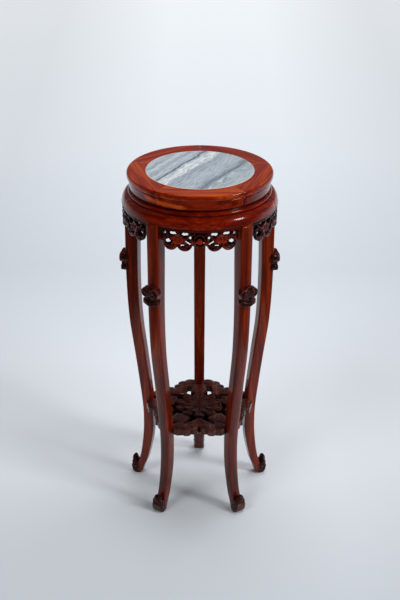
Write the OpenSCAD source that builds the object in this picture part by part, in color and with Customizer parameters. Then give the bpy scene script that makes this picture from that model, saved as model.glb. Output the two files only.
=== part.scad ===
// Round plant stand in carved hardwood. A marble disc lies in a moulded top ring over a waist
// and a cornice. Five swept legs with scroll feet carry them, with a pierced apron in each bay,
// a carved block on each knee and a lobed shelf between the ankles.
// Millimetres, +Z up, origin on the floor at the centre. Leg 1 stands at the back, on +Y,
// and the numbers run anticlockwise seen from above.

/* [Overall] */
// Height from the floor to the top face
stand_h = 800; // [770:1:840]

/* [Marble] */
// Radius of the marble disc
marble_r = 118.4; // [112:0.2:122]
// Thickness of the marble disc
marble_t = 12; // [9:0.5:14]
// Chamfer on the marble's upper edge
marble_chamfer = 0.8; // [0.3:0.1:1.5]

/* [Top ring] */
// Widest radius of the top ring
ring_r = 160; // [157:0.5:166]
// Depth of the top ring
ring_h = 35; // [32:0.5:40]
// Round on the ring's upper edge
ring_edge_r = 5; // [2:0.5:6]
// Height of the ring's rounded rim
rim_h = 14.5; // [13:0.5:17]
// Round under the rim
rim_foot_r = 6; // [4:0.25:7]
// How far the tier under the rim lies inside it
tier_in = 3; // [2:0.25:4]
// How far the tier draws in at its foot
tier_draw = 2.5; // [1:0.25:4]
// Round at the tier's foot
tier_foot_r = 3; // [1:0.25:5]
// Width of the ledge under the marble's edge
ledge_w = 8; // [5:0.5:10]

/* [Waist] */
// Outer radius of the waist
waist_r = 149; // [146:0.5:151]
// Height of the waist that shows
waist_h = 5; // [3:0.5:8]
// Thickness of the waist
waist_t = 14; // [11:0.5:18]
// Width of the waist's tongues
waist_tongue_w = 5; // [3:0.5:7]
// Height of the waist's tongues
waist_tongue_h = 4; // [2:0.5:5]

/* [Cornice] */
// Radius of the cornice at its bottom lip
cornice_r = 171.5; // [169:0.5:177]
// Height of the cornice
cornice_h = 31.5; // [30:0.5:38]
// Width of the cornice from its inside to its lip
cornice_w = 42; // [38:0.5:48]
// How far the bead stands out from the waist
bead_out = 8.5; // [7:0.25:10]
// Height of the bead
bead_h = 8.5; // [6:0.25:10]
// Height of the large round under the bead
ovolo_h = 19; // [14:0.5:20]
// Height of the lip at the bottom
lip_h = 3; // [1.5:0.25:3.5]
// How far the lip stands out
lip_out = 0.6; // [0.3:0.1:1.5]

/* [Legs] */
// How far the legs' tops stand out past the lip
leg_proud = 3.8; // [2:0.2:5]
// Width of a leg at the top
leg_w_top = 28.6; // [27:0.2:32]
// Width of a leg at the ankle
leg_w_ankle = 24.4; // [22:0.2:27]
// Thickness of a leg at the top, along the radius
leg_t_top = 32.4; // [29:0.1:35]
// Thickness of a leg at the ankle
leg_t_ankle = 26.6; // [24:0.1:29]
// Thickness of a leg at the foot's neck
neck_t = 21; // [19:0.1:24]
// How far the leg draws in at the ankle
ankle_in = 34.5; // [30:0.5:38]
// Width of the foot
foot_w = 31; // [30:0.5:36]
// Radius of the foot's scroll
scroll_r = 12.5; // [11:0.5:14]
// How far the scroll's middle lies outside the sole's middle
scroll_out = 0.5; // [-1:0.5:3]
// Height of the scroll's underside above the floor
scroll_lift = 0.5; // [0.3:0.1:2]
// Height of the leaf tip on the toe
leaf_top_z = 47; // [45:0.5:52]
// Radius of the leaf tip
leaf_r = 7.5; // [6:0.5:8]
// Thickness of the tenon at the leg's top
leg_tenon_t = 9.5; // [8:0.5:11]
// Width of the tenon at the leg's top
leg_tenon_w = 18; // [14:0.5:22]
// Height of the tenon at the leg's top
leg_tenon_h = 20; // [14:0.5:24]
// How far the tenon's middle lies inside the leg's middle
leg_tenon_back = 6.4; // [5.5:0.1:7]

/* [Aprons] */
// Thickness of an apron
apron_t = 10; // [8:0.5:12]
// How far the apron's face lies inside the lip
apron_back = 0.7; // [0.4:0.1:3]
// Depth of the apron beside the legs
apron_end_h = 31.5; // [27:0.5:35]
// Depth of the apron at its lobes
apron_lobe_h = 50.5; // [47:0.5:55]
// Depth of the apron at its middle
apron_mid_h = 41.5; // [38:0.5:45]
// Thickness of the apron's tongues
apron_tongue_t = 4; // [3:0.25:5]
// Height of the tongue in the cornice
apron_tongue_h = 5; // [3:0.5:7]
// Depth of the tongues in the legs
apron_tongue_in = 5; // [3:0.5:7]

/* [Knees] */
// Height of the knee carving's foot above the floor
knee_z = 541; // [530:1:560]
// Height of the knee carving
knee_h = 48.5; // [42:0.5:52]
// Width of the knee carving
knee_w = 40; // [35:0.5:42]
// How far the knee carving stands out from the leg
knee_out = 12; // [8:0.5:13]
// How far the knee carving wraps round the leg's corners
knee_wrap = 5; // [3:0.5:7]
// Width of the stub tenon behind the carving
knee_stub_w = 10; // [7:0.5:14]
// Height of the stub tenon behind the carving
knee_stub_h = 14; // [10:0.5:18]
// Depth of the stub tenon in the leg
knee_stub_in = 6; // [4:0.5:8]

/* [Shelf] */
// Height of the shelf's top face
shelf_z = 215; // [190:1:240]
// Thickness of the shelf
shelf_t = 20; // [17:0.5:24]
// How far the wings reach past the legs' inner faces
wing_wrap = 10.5; // [7:0.5:12]
// Depth of the notches between the wings
notch_in = 27; // [24:0.5:30]
// Width of a spoke between its two holes
spoke_w = 34.5; // [31:0.5:37]
// Width of a hole beside a spoke
hole_w = 12; // [9:0.5:13]
// Wood between a hole and the notches, along the spoke
hole_edge = 7; // [5:0.5:10]
// How far a hole's inner end turns away from its spoke
hole_splay = 3.5; // [0:0.5:5]
// Radius of the carved rosette
rosette_r = 52; // [48:0.5:54]
// Radius of the boss in the rosette
boss_r = 18; // [14:0.5:22]
// Depth that the rosette's petals are cut down
petal_sink = 3; // [1:0.25:5]
// Width of the shelf's tenons
shelf_tenon_w = 12; // [9:0.5:15]
// Height of the shelf's tenons
shelf_tenon_h = 10; // [7:0.5:13]
// Length of the shelf's tenons in the legs
shelf_tenon_in = 8; // [5:0.5:11]

/* [Battens and loose tenons] */
// Width of a batten under the marble
batten_w = 22; // [16:0.5:26]
// Depth of a batten
batten_h = 12; // [10:0.5:14]
// Distance of each batten from the middle
batten_y = 55; // [48:0.5:58]
// Length of a batten's end in the ring
batten_in = 8; // [5:0.5:10]
// Length of a loose tenon
loose_l = 30; // [22:0.5:36]
// Width of a loose tenon, along the radius
loose_w = 20; // [14:0.5:22]
// Thickness of a loose tenon
loose_t = 8; // [6:0.5:9]

/* [Fits] */
// Gap round tongues, tenons and stubs
fit = 0.15; // [0.1:0.05:0.3]
// Gap round the marble
marble_gap = 0.3; // [0.2:0.1:0.6]
// Glue line between ring segments
glue_line = 0.1; // [0.05:0.05:0.2]

/* [Hidden] */
COUNT = 5;
PITCH = 360 / COUNT;
FIRST = 90;
OVER = 1;
FINE = 180;
$fn = FINE;

RING_COLOUR = "#9a4a26";
BAND_COLOUR = "#7d3018";
LEG_COLOUR = "#5d2818";
CARVED_COLOUR = "#45201a";
INNER_COLOUR = "#8a5a3c";
MARBLE_COLOUR = "#a9b3bb";

// Levels, from the top down
ledge_z = stand_h - marble_t;
ring_z = stand_h - ring_h;
waist_z = ring_z - waist_h;
cornice_z = waist_z - cornice_h;
leg_top = cornice_z;

// Radii of the rings
rabbet_r = marble_r + marble_gap;
ring_in_r = rabbet_r - ledge_w;
waist_mid_r = waist_r - waist_t / 2;
cornice_in_r = cornice_r - cornice_w;
bead_r = waist_r + bead_out;
fascia_r = cornice_r - lip_out;
seam = glue_line / cornice_r * 180 / PI;

// Degrees that the rim's underside turns in before it meets the tier
RIM_TUCK = 75;

// Loose tenons lie mid-way across the solid part of each ring
ring_loose_r = (rabbet_r + ring_r) / 2 - OVER;
ring_loose_z = ring_z + waist_tongue_h + (ledge_z - ring_z - waist_tongue_h) / 2;
cornice_loose_r = cornice_in_r + cornice_w * 0.4;
cornice_loose_z = cornice_z + cornice_h / 2;

// The leg's middle line: heights, and the share of the draw-in at each of them
leg_top_r = cornice_r + leg_proud - leg_t_top / 2;
LEG_LEVELS = [0, 20, 40, 60, 90, 120, 155, 190, 260, 330, 420, 520, 640, leg_top];
LEG_SHARES = [
    0.18, 0.335, 0.57, 0.715, 0.87, 0.97, 1, 0.97, 0.75, 0.49, 0.15, 0.005, 0, 0
];
LAST_LEVEL = len(LEG_LEVELS) - 1;
LEG_STEPS = 56;
ankle_z = 120;
neck_z = 60;
toe_z = 46;

// The apron hangs on a cylinder, with its tongues mid-way through its thickness
apron_r = cornice_r - apron_back;
apron_mid_r = apron_r - apron_t / 2;
// Degrees of turn for each millimetre along the bay
along = 180 / PI / apron_mid_r;
// Lobes of the apron's lower edge: distance along the bay, and radius
APRON_LOBES = [[0, 15], [35, 17], [-35, 17], [64, 16], [-64, 16]];
// Holes in one half of the apron: distance along the bay, depth below the cornice, radius
APRON_HOLES = [
    [80, 14, 3.2], [60, 13, 4.4], [32, 13, 4.4], [20, 19, 3],
    [70, 30, 5], [29, 29, 3.2], [22, 34, 3.2], [39, 39, 3]
];

// The shelf's wings reach past the legs, and its notches lie between them
shelf_reach = leg_in_r(shelf_z) + wing_wrap;
shelf_notch_r = shelf_reach - notch_in;
// The scallops of one wing: angles from the leg, radii, and how far they stay inside the reach
SCALLOP_ANGLES = [11, 20.5, 29];
SCALLOP_RADII = [16, 13, 12];
SCALLOP_BACK = [0, 4, 14];
// Each hole beside a spoke is a run of overlapping rounds
HOLE_ROUNDS = 6;

PIECES = ["top_ring_segment", "waist_segment", "cornice_segment", "apron", "leg", "knee_carving"];

// Direction of leg i, and of the bay that follows it
function leg_az(i) = FIRST + PITCH * (i - 1);
function bay_az(i) = leg_az(i) + PITCH / 2;

// Points along an elliptical arc
function arc(c, rx, ry, a0, a1, n = 8) =
    [for (k = [0:n]) let (a = a0 + (a1 - a0) * k / n) [c.x + rx * cos(a), c.y + ry * sin(a)]];

// Smooth curve through the leg's middle line
function line_span(z, k = 0) =
    k >= LAST_LEVEL - 1 || z < LEG_LEVELS[k + 1] ? k : line_span(z, k + 1);
function line_slope(k) =
    let (a = max(k - 1, 0), b = min(k + 1, LAST_LEVEL))
    (LEG_SHARES[b] - LEG_SHARES[a]) / (LEG_LEVELS[b] - LEG_LEVELS[a]);
function line_share(z) =
    let (
        k = line_span(z),
        h = LEG_LEVELS[k + 1] - LEG_LEVELS[k],
        t = (z - LEG_LEVELS[k]) / h
    )
    LEG_SHARES[k] * (1 + 2 * t) * (1 - t) * (1 - t) + LEG_SHARES[k + 1] * t * t * (3 - 2 * t)
    + h * line_slope(k) * t * (1 - t) * (1 - t) - h * line_slope(k + 1) * t * t * (1 - t);
function leg_mid_r(z) = leg_top_r - ankle_in * line_share(z);
function ease(t) = let (u = min(max(t, 0), 1)) u * u * (3 - 2 * u);
function leg_t(z) =
    neck_t + (leg_t_ankle - neck_t) * ease((z - toe_z) / (ankle_z - toe_z))
    + (leg_t_top - leg_t_ankle) * max(0, z - ankle_z) / (leg_top - ankle_z);
function leg_out_r(z) = leg_mid_r(z) + leg_t(z) / 2;
function leg_in_r(z) = leg_mid_r(z) - leg_t(z) / 2;

// A moulding swept through one bay, starting at direction az
module bay_of(az, profile) {
    rotate([0, 0, az + seam / 2])
        rotate_extrude(angle = PITCH - seam)
            polygon(profile);
}

// A full turn of a rectangular groove or tongue
module hoop(r, w, z, h) {
    translate([0, 0, z])
        difference() {
            cylinder(r = r + w / 2, h = h);
            translate([0, 0, -OVER])
                cylinder(r = r - w / 2, h = h + 2 * OVER);
        }
}

// A block lying along the radius in direction az, from r0 to r1
module radial_block(az, r0, r1, w, z0, z1) {
    rotate([0, 0, az])
        translate([r0, -w / 2, z0])
            cube([r1 - r0, w, z1 - z0]);
}

// Loose tenon across a joint in direction az
module loose_tenon(az, r, z, gap = 0) {
    rotate([0, 0, az])
        translate([r, 0, z])
            cube([loose_w + 2 * gap, loose_l + 2 * gap, loose_t + 2 * gap], center = true);
}

// A round bar along the radius in direction az, at height z
module radial_bar(az, z, r) {
    rotate([0, 0, az])
        translate([apron_mid_r, 0, z])
            rotate([0, 90, 0])
                cylinder(r = r, h = 3 * apron_t, center = true);
}

module marble_disc() {
    color(MARBLE_COLOUR)
        translate([0, 0, ledge_z])
            rotate_extrude()
                polygon([
                    [0, 0], [marble_r, 0], [marble_r, marble_t - marble_chamfer],
                    [marble_r - marble_chamfer, marble_t], [0, marble_t]
                ]);
}

// The top ring's section: a rabbet for the marble, a rounded rim and a plain tier under it
function ring_profile() =
    let (
        rim_z = stand_h - rim_h,
        tier_r = ring_r - tier_in
    )
    concat(
        [[ring_in_r, ring_z], [ring_in_r, ledge_z], [rabbet_r, ledge_z], [rabbet_r, stand_h]],
        arc([ring_r - ring_edge_r, stand_h - ring_edge_r], ring_edge_r, ring_edge_r, 90, 0),
        arc(
            [ring_r - rim_foot_r, rim_z + rim_foot_r * sin(RIM_TUCK)],
            rim_foot_r, rim_foot_r, 0, -RIM_TUCK
        ),
        [[tier_r, rim_z]],
        arc([tier_r - tier_draw - tier_foot_r, ring_z + tier_foot_r], tier_foot_r, tier_foot_r, 0, -90, 5)
    );

module batten_mortise(side) {
    half = batten_half() + fit;
    translate([-half, side * batten_y - batten_w / 2 - fit, ledge_z - batten_h - fit])
        cube([2 * half, batten_w + 2 * fit, batten_h + fit]);
}

// Half length of a batten, so that its inner corner still reaches into the ring
function batten_half() = sqrt(pow(ring_in_r, 2) - pow(batten_y - batten_w / 2, 2)) + batten_in;

module top_ring_segment(i) {
    color(RING_COLOUR)
        difference() {
            bay_of(leg_az(i), ring_profile());
            hoop(waist_mid_r, waist_tongue_w + 2 * fit, ring_z - OVER, waist_tongue_h + fit + OVER);
            for (k = [i, i + 1])
                loose_tenon(leg_az(k), ring_loose_r, ring_loose_z, fit);
            for (side = [-1, 1])
                batten_mortise(side);
        }
}

module top_ring_loose_tenons() {
    color(INNER_COLOUR)
        for (i = [1:COUNT])
            loose_tenon(leg_az(i), ring_loose_r, ring_loose_z);
}

module batten(side) {
    color(INNER_COLOUR)
        translate([-batten_half(), side * batten_y - batten_w / 2, ledge_z - batten_h])
            cube([2 * batten_half(), batten_w, batten_h]);
}

// The waist's section: a plain band with a tongue at the top and the bottom
function waist_profile() =
    let (
        r0 = waist_r - waist_t,
        a = waist_mid_r - waist_tongue_w / 2,
        b = waist_mid_r + waist_tongue_w / 2,
        low = waist_z - waist_tongue_h,
        high = ring_z + waist_tongue_h
    )
    [
        [r0, waist_z], [a, waist_z], [a, low], [b, low], [b, waist_z], [waist_r, waist_z],
        [waist_r, ring_z], [b, ring_z], [b, high], [a, high], [a, ring_z], [r0, ring_z]
    ];

module waist_segment(i) {
    color(BAND_COLOUR)
        bay_of(bay_az(i), waist_profile());
}

// The cornice's section: a bead, a quirk, a large ovolo, a fascia and a thin lip
function cornice_profile() =
    let (
        quirk_z = waist_z - bead_h,
        ovolo_r = bead_r + OVER,
        ovolo_z = quirk_z - ovolo_h
    )
    concat(
        [[cornice_in_r, cornice_z], [cornice_in_r, waist_z]],
        arc([bead_r - bead_h / 2, waist_z - bead_h / 2], bead_h / 2, bead_h / 2, 90, -90),
        arc([ovolo_r, ovolo_z], fascia_r - ovolo_r, ovolo_h, 90, 0),
        [[fascia_r, cornice_z + lip_h], [cornice_r, cornice_z + lip_h], [cornice_r, cornice_z]]
    );

module leg_tenon(gap = 0) {
    mid = leg_top_r - leg_tenon_back;
    radial_block(
        0, mid - leg_tenon_t / 2 - gap, mid + leg_tenon_t / 2 + gap, leg_tenon_w + 2 * gap,
        leg_top - OVER, leg_top + leg_tenon_h + gap
    );
}

module cornice_segment(i) {
    color(BAND_COLOUR)
        difference() {
            bay_of(bay_az(i), cornice_profile());
            hoop(waist_mid_r, waist_tongue_w + 2 * fit, waist_z - waist_tongue_h - fit,
                waist_tongue_h + fit + OVER);
            hoop(apron_mid_r, apron_tongue_t + 2 * fit, cornice_z - OVER,
                apron_tongue_h + fit + OVER);
            for (k = [i, i + 1])
                loose_tenon(bay_az(k), cornice_loose_r, cornice_loose_z, fit);
            rotate([0, 0, leg_az(i + 1)])
                leg_tenon(fit);
        }
}

module cornice_loose_tenons() {
    color(INNER_COLOUR)
        for (i = [1:COUNT])
            loose_tenon(bay_az(i), cornice_loose_r, cornice_loose_z);
}

// Space that the legs on both sides of a bay take up, cut in by depth from their side faces.
// The bay lies round +X.
module leg_flanks(depth) {
    for (side = [-1, 1])
        radial_block(side * PITCH / 2, apron_r - 3 * apron_t, apron_r + 3 * apron_t,
            leg_w_top - 2 * depth, 0, stand_h);
}

// A curved board on the apron's cylinder, through one bay round +X
module bay_board(t, z0, z1) {
    rotate([0, 0, -PITCH / 2])
        rotate_extrude(angle = PITCH)
            translate([apron_mid_r - t / 2, z0])
                square([t, z1 - z0]);
}

// The tongue round the top and the two ends of an apron
module apron_tongue(gap = 0) {
    difference() {
        bay_board(apron_tongue_t + 2 * gap, cornice_z - apron_end_h - gap,
            cornice_z + apron_tongue_h);
        leg_flanks(apron_tongue_in + gap);
    }
}

// An apron without its holes, its lower edge running in lobes
module apron_board() {
    difference() {
        union() {
            bay_board(apron_t, cornice_z - apron_end_h, cornice_z);
            intersection() {
                bay_board(apron_t, cornice_z - apron_lobe_h - OVER, cornice_z - apron_end_h + OVER);
                for (lobe = APRON_LOBES)
                    radial_bar(
                        lobe[0] * along,
                        cornice_z + lobe[1] - (lobe[0] == 0 ? apron_mid_h : apron_lobe_h),
                        lobe[1]
                    );
            }
        }
        leg_flanks(-fit);
    }
}

module apron(i) {
    color(CARVED_COLOUR)
        rotate([0, 0, bay_az(i)])
            difference() {
                union() {
                    apron_board();
                    apron_tongue();
                }
                for (hole = APRON_HOLES, side = [-1, 1])
                    radial_bar(side * hole[0] * along, cornice_z - hole[1], hole[2]);
            }
}

// Middle of the foot's scroll, in the leg's side view
function scroll_at() = [leg_mid_r(0) + scroll_out, scroll_r];

// The leg's side view, grown by gap. Below the scroll's top the outer face ends inside the scroll.
module leg_side(gap = 0) {
    steps = [for (k = [0:LEG_STEPS]) leg_top * k / LEG_STEPS];
    polygon(concat(
        [for (z = steps) [z < 2 * scroll_r ? min(leg_out_r(z), scroll_at().x) : leg_out_r(z) + gap, z]],
        [for (k = [LEG_STEPS:-1:0]) [leg_in_r(steps[k]) - gap, steps[k]]]
    ));
}

// The scroll foot's side view: the scroll, the leaf tip over it and the wood between them
module foot_side() {
    sole_r = leg_mid_r(0);
    scroll = scroll_at();
    tip = [scroll.x + scroll_r - leaf_r, leaf_top_z - leaf_r];
    intersection() {
        union() {
            translate(scroll)
                circle(scroll_r);
            translate(tip)
                circle(leaf_r);
            polygon([
                [sole_r, 0], scroll, scroll + [scroll_r, 0], tip + [leaf_r, 0],
                tip - [leaf_r, 0] / 2, [leg_mid_r(toe_z / 2), toe_z / 2]
            ]);
        }
        translate([0, scroll_lift])
            square([2 * cornice_r, leaf_top_z]);
    }
}

// The leg's front view, as half widths
module leg_front(gap = 0) {
    polygon([
        for (side = [1, -1], k = [0:3])
            let (
                j = side > 0 ? k : 3 - k,
                z = [0, toe_z, neck_z, leg_top][j],
                w = [foot_w, foot_w, leg_w_ankle, leg_w_top][j]
            )
            [side * (w / 2 + gap), z]
    ]);
}

// The stick of the leg, with or without its foot, pointing along +X
module leg_stick(gap = 0, foot = true) {
    intersection() {
        rotate([90, 0, 0])
            linear_extrude(2 * foot_w, center = true)
                union() {
                    leg_side(gap);
                    if (foot)
                        foot_side();
                }
        rotate([90, 0, 90])
            linear_extrude(2 * cornice_r)
                leg_front(gap);
    }
}

// Shelf tenon along +X, into a leg's inner face
module shelf_tenon(gap = 0) {
    mid = shelf_z - shelf_t / 2;
    face = leg_in_r(mid);
    radial_block(
        0, face - shelf_t, face + shelf_tenon_in + gap, shelf_tenon_w + 2 * gap,
        mid - shelf_tenon_h / 2 - gap, mid + shelf_tenon_h / 2 + gap
    );
}

// Stub tenon along +X, behind a knee carving
module knee_stub(gap = 0) {
    mid = knee_z + knee_h / 2;
    face = leg_out_r(mid);
    radial_block(
        0, face - knee_stub_in - gap, face + OVER, knee_stub_w + 2 * gap,
        mid - knee_stub_h / 2 - gap, mid + knee_stub_h / 2 + gap
    );
}

module leg(i) {
    color(LEG_COLOUR)
        difference() {
            rotate([0, 0, leg_az(i)])
                union() {
                    difference() {
                        leg_stick();
                        shelf_tenon(fit);
                        knee_stub(fit);
                    }
                    leg_tenon();
                }
            for (bay = [i - 1, i])
                rotate([0, 0, bay_az(bay)])
                    apron_tongue(fit);
        }
}

// Front outline of a knee carving: two scrolls and a crown over a flared foot
module knee_front() {
    curl_r = knee_w / 4;
    crown_r = knee_w * 0.3;
    foot_h = knee_h / 4;
    neck_w = knee_w * 0.7;
    translate([0, knee_h - crown_r])
        circle(crown_r);
    for (side = [-1, 1])
        translate([side * (knee_w / 2 - curl_r), knee_h - crown_r - curl_r / 2])
            circle(curl_r);
    translate([-neck_w / 2, 0])
        square([neck_w, knee_h - crown_r]);
    translate([-knee_w / 2, 0])
        square([knee_w, foot_h]);
}

module knee_carving(i) {
    face = leg_out_r(knee_z + knee_h / 2);
    color(CARVED_COLOUR)
        rotate([0, 0, leg_az(i)])
            union() {
                difference() {
                    translate([face - knee_wrap, 0, knee_z])
                        rotate([90, 0, 90])
                            linear_extrude(knee_wrap + knee_out)
                                knee_front();
                    leg_stick(fit, foot = false);
                }
                knee_stub();
            }
}

// The shelf's outline: a disc with a scalloped wing on both sides of each leg
module shelf_outline() {
    circle(shelf_notch_r);
    for (i = [1:COUNT], side = [-1, 1], k = [0:len(SCALLOP_RADII) - 1])
        rotate(leg_az(i) + side * SCALLOP_ANGLES[k])
            translate([shelf_reach - SCALLOP_BACK[k] - SCALLOP_RADII[k], 0])
                circle(SCALLOP_RADII[k]);
}

// One pierced hole beside the spoke along +X
module spoke_hole(side) {
    from = [shelf_notch_r - hole_edge - hole_w / 2, (spoke_w + hole_w) / 2];
    to = [rosette_r + hole_w / 2, from.y + hole_splay];
    for (k = [0:HOLE_ROUNDS]) {
        at = from + (to - from) * k / HOLE_ROUNDS;
        translate([at.x, side * at.y])
            circle(d = hole_w);
    }
}

module lower_shelf() {
    color(CARVED_COLOUR)
        union() {
            difference() {
                translate([0, 0, shelf_z - shelf_t])
                    linear_extrude(shelf_t)
                        difference() {
                            shelf_outline();
                            for (i = [1:COUNT], side = [-1, 1])
                                rotate(leg_az(i))
                                    spoke_hole(side);
                        }
                translate([0, 0, shelf_z - petal_sink])
                    difference() {
                        cylinder(r = rosette_r, h = petal_sink + OVER);
                        translate([0, 0, -OVER])
                            cylinder(r = boss_r, h = petal_sink + 3 * OVER);
                    }
                for (i = [1:COUNT])
                    rotate([0, 0, leg_az(i)])
                        leg_stick(fit, foot = false);
            }
            for (i = [1:COUNT])
                rotate([0, 0, leg_az(i)])
                    shelf_tenon();
        }
}

marble_disc();
top_ring_loose_tenons();
cornice_loose_tenons();
batten(-1);  // front_batten
batten(1);  // back_batten
lower_shelf();
for (i = [1:COUNT]) {
    top_ring_segment(i);
    waist_segment(i);
    cornice_segment(i);
    apron(i);
    leg(i);
    knee_carving(i);
}
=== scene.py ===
# A round plant stand in carved and lacquered rosewood with a marble top, dressed over its frame.
# Lengths are millimetres until a mesh is made. Pieces are shaped as they would lie round +X, with
# x along the radius, y across it and z up, and are then turned to their own direction.
import math

import bpy
import numpy as np
from mathutils import Matrix


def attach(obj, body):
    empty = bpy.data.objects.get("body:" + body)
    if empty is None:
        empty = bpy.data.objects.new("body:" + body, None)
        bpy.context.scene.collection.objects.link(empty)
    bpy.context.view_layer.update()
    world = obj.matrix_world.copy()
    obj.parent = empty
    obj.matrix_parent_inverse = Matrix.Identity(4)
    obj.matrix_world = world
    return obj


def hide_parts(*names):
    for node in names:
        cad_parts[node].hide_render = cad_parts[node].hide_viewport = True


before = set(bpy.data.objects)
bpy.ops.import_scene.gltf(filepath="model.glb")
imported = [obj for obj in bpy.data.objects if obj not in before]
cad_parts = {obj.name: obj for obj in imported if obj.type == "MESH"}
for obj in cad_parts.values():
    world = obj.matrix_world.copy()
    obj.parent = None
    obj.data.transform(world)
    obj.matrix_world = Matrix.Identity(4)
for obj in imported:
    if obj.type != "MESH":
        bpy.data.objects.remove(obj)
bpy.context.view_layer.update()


# Legs. Five sticks of dark rosewood, each sawn to a long S curve from one plank, with rounded
# corners and a slightly crowned outer face. The scroll foot is carved from the same stick, and
# the head is tenoned up into the cornice.
MM = 0.001
TINY = 1e-3
COUNT = 5
PITCH = 360 / COUNT
BACK_LEG = 90
LEG_AZIMUTHS = [BACK_LEG + PITCH * i for i in range(COUNT)]

LEG_TOP = 728.5
LEG_TOP_R = 159.1
ANKLE_IN = 34.5
LEG_LEVELS = np.array([0, 20, 40, 60, 90, 120, 155, 190, 260, 330, 420, 520, 640, LEG_TOP])
LEG_SHARES = np.array([0.18, 0.335, 0.57, 0.715, 0.87, 0.97, 1, 0.97, 0.75, 0.49, 0.15, 0.005, 0, 0])
TOE_Z = 46
NECK_Z = 60
ANKLE_Z = 120
NECK_T = 21
ANKLE_T = 24.6
TOP_T = 32.4
DEPTH_POWER = 1.3
ANKLE_W = 22.6
TOP_W = 28.8
LEG_CORNER = 2.8
LEG_CROWN = 1.8
SHOULDER_H = 8
SHOULDER_IN = 2.8
HEEL_R = 9
STICK_END_Z = 27
STICK_END_IN = 2
CORNER_STEPS = 6
FACE_STEPS = 7
HEEL_STEPS = 9
LEG_STEPS = 100
LEVEL_GAP = 2

# The foot. The roll and the toe are placed by radius and height. A leaf is an egg, with its centre and
# its three radii in the order of radius, side and height.
ROLL_AT = (158, 18.8)
ROLL_R = 10.2
ROLL_HALF = 12.8
ROLL_COIL = 5.4
GROOVE_HALF = 0.8
GROOVE_DEEP = 2
GROOVE_RIM = 0.4
BUTTON_SINK = 0.4
BUTTON_RADII = (2.7, 1.6, 2.7)
TOE_AT = (155, 12)
TOE_TOP = 22
TOE_IN_R = 150
TOE_TAPER = 1.2
TOE_TAPER_R = 152
TOE_TAPER_RUN = 10
LEAF = ((161.6, 0, 34.4), (6.9, 10.4, 12.2))
LEAF_LOBE = ((161.2, 9, 28), (6.4, 4.6, 7.6))
VEIN_PITCH = 5.2
VEIN_SLOPE = 0.7
VEIN_SINK = 0.55
VEIN_R = 162
VEIN_RUN = 3
MIDRIB_HALF = 0.9
MIDRIB_SINK = 0.8
SOLE_Z = 0.3
FOOT_BOX = ((146, -17.5, -1), (172, 17.5, 50))
FOOT_CELL = 0.85
FOOT_KEEP = 0.45


def ease(t):
    """0 below 0, 1 above 1, and a smooth step between."""
    t = np.clip(t, 0, 1)
    return t * t * (3 - 2 * t)


def leg_middle(z):
    """Radius of the leg's middle line at height z, on a smooth curve through its levels."""
    last = len(LEG_LEVELS) - 1
    low = np.maximum(np.arange(last + 1) - 1, 0)
    high = np.minimum(np.arange(last + 1) + 1, last)
    slope = (LEG_SHARES[high] - LEG_SHARES[low]) / (LEG_LEVELS[high] - LEG_LEVELS[low])
    k = np.clip(np.searchsorted(LEG_LEVELS, z, side="right") - 1, 0, last - 1)
    h = LEG_LEVELS[k + 1] - LEG_LEVELS[k]
    t = (z - LEG_LEVELS[k]) / h
    share = LEG_SHARES[k] * (1 + 2 * t) * (1 - t) ** 2 + LEG_SHARES[k + 1] * t * t * (3 - 2 * t)
    share += h * slope[k] * t * (1 - t) ** 2 - h * slope[k + 1] * t * t * (1 - t)
    return LEG_TOP_R - ANKLE_IN * share


def leg_depth(z):
    """The leg's depth along the radius: thin at the foot's neck, growing up to the top."""
    above = np.maximum(z - ANKLE_Z, 0) / (LEG_TOP - ANKLE_Z)
    below = (ANKLE_T - NECK_T) * ease((z - TOE_Z) / (ANKLE_Z - TOE_Z))
    return NECK_T + below + (TOP_T - ANKLE_T) * above**DEPTH_POWER


def leg_width(z):
    """The leg's width, which tapers from the top to the foot's neck."""
    return ANKLE_W + (TOP_W - ANKLE_W) * np.maximum(z - NECK_Z, 0) / (LEG_TOP - NECK_Z)


def leg_face(z):
    """Radius of the leg's outer face at height z."""
    return leg_middle(z) + leg_depth(z) / 2


def leg_section(z):
    """One ring of points round the leg at height z: rounded corners and a crowned outer face."""
    half_d, half_w = leg_depth(z) / 2, leg_width(z) / 2
    ring = []
    for start, sx, sy in ((0, 1, 1), (90, -1, 1), (180, -1, -1), (270, 1, -1)):
        for a in np.radians(start + np.linspace(0, 90, CORNER_STEPS)):
            x = sx * (half_d - LEG_CORNER) + LEG_CORNER * math.cos(a)
            ring.append((x, sy * (half_w - LEG_CORNER) + LEG_CORNER * math.sin(a)))
        if sx * sy < 0:
            across = sx * (half_w - LEG_CORNER) * np.linspace(-1, 1, FACE_STEPS)[1:-1]
            ring += [(sx * half_d, y) for y in across]
    ring = np.array(ring)
    crown = LEG_CROWN * (ring[:, 1] / half_w) ** 2 + SHOULDER_IN * ease((z - LEG_TOP) / SHOULDER_H + 1)
    r = leg_middle(z) + ring[:, 0] - np.where(ring[:, 0] > 0, crown, 0)
    if z < HEEL_R:
        heel = leg_middle(0) - NECK_T / 2 + HEEL_R - math.sqrt(HEEL_R**2 - (HEEL_R - z) ** 2)
        r = np.maximum(r, heel)
    if z < STICK_END_Z:
        r = np.minimum(r, TOE_AT[0] - STICK_END_IN)
    return np.column_stack([r, ring[:, 1], np.full(len(ring), z)])


def tube_faces(rings, around):
    """Quads between rings of points, and a face over each end."""
    quads = []
    for k in range(rings - 1):
        for j in range(around):
            a, b = k * around + j, k * around + (j + 1) % around
            quads.append((a, b, b + around, a + around))
    last = (rings - 1) * around
    return quads + [tuple(range(around - 1, -1, -1)), tuple(range(last, last + around))]


def join(a, b, soft):
    """The nearer of two distance fields, blended over a soft seam."""
    t = np.clip(0.5 + 0.5 * (b - a) / soft, 0, 1)
    return b + (a - b) * t - soft * t * (1 - t)


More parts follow.
